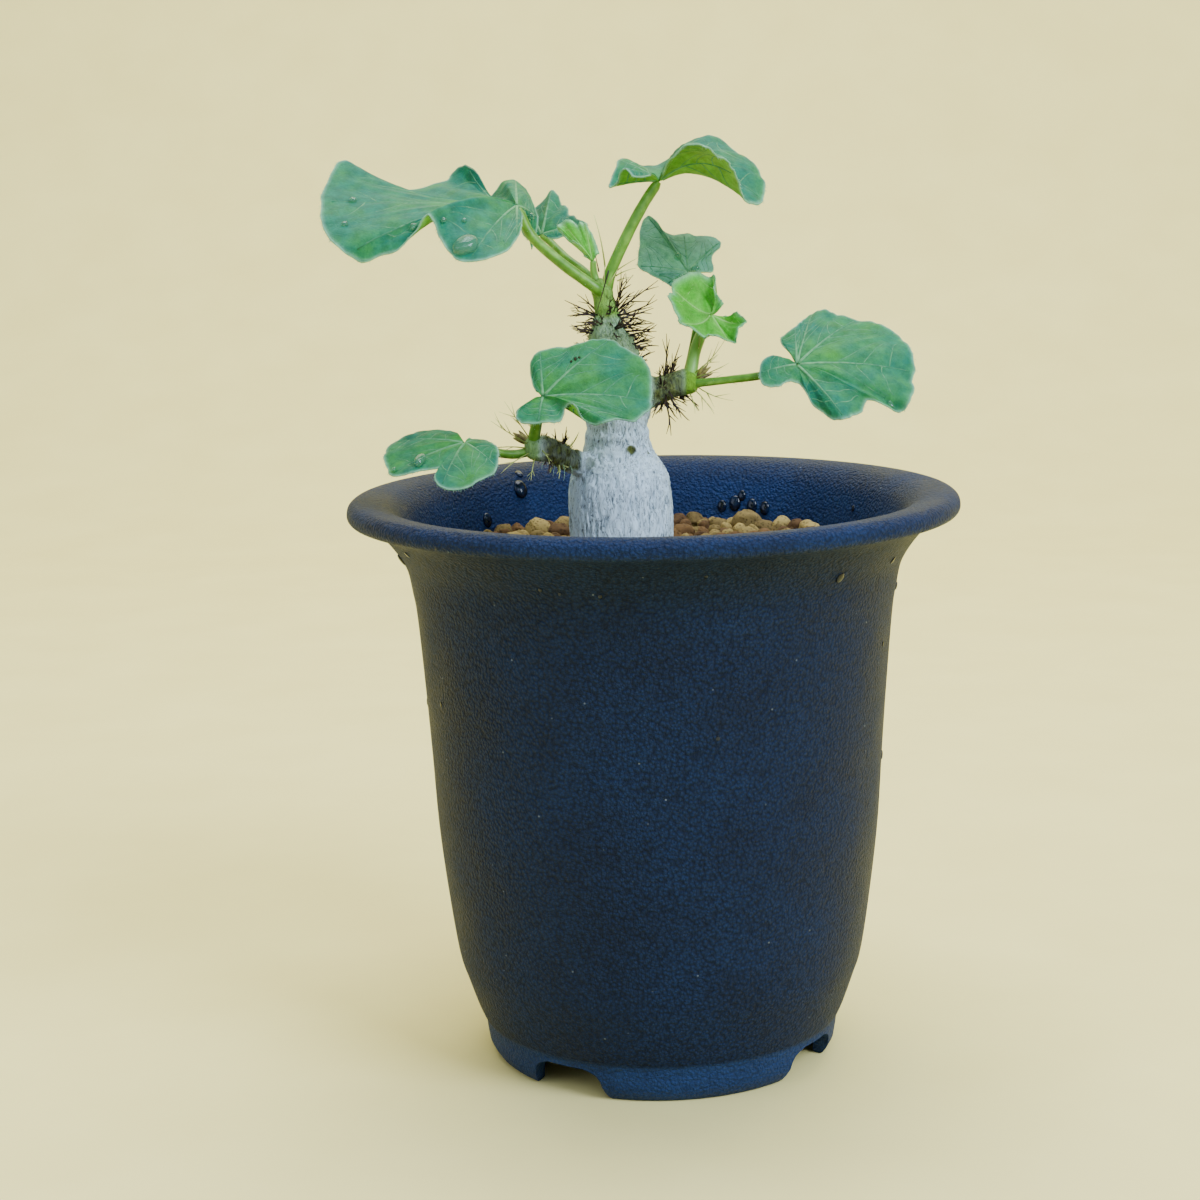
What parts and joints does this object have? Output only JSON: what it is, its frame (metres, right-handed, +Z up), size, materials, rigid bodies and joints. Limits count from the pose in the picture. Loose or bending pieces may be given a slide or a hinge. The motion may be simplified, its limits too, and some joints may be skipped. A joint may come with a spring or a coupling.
{
  "type": "potted succulent plant",
  "caption": "Small succulent with a swollen silvery stem, spiny forked shoots and lobed blue-green leaves, in a tall dark flared nursery pot of granular soil.",
  "frame": {"origin": "centre of the whole plant's bounding box footprint, on the surface that the pot's foot ring stands on", "axes": "+Z up along the pot's axis, -Y towards the side seen in the picture, +X to the right in it"},
  "size_m": [0.1026, 0.1, 0.1517],
  "materials": {
    "pot_plastic": "dark blue-black moulded polypropylene with a fine leather-like grain and a smooth rim edge",
    "granules": "dry matt pumice and clay granules, tan to brown",
    "bark": "silver-grey bark with fine upright wrinkles",
    "shoot_skin": "grey-green young bark with dark branched thorns",
    "leaf_blade": "soft waxy blue-green leaf with pale veins",
    "young_leaf": "soft bright green young leaf"
  },
  "bodies": {
    "root": {"pot": "pot_plastic", "soil": "granules", "caudex": "bark", "main_shoot": "shoot_skin", "right_shoot": "shoot_skin", "left_shoot": "shoot_skin", "leaf_big_left": "leaf_blade", "leaf_behind_left": "leaf_blade", "leaf_young_top": "young_leaf", "leaf_upper_right": "leaf_blade", "leaf_behind_right": "leaf_blade", "leaf_young_cup": "young_leaf", "leaf_right": "leaf_blade", "leaf_centre_front": "leaf_blade", "leaf_low_left": "leaf_blade"}
  },
  "joints": []
}
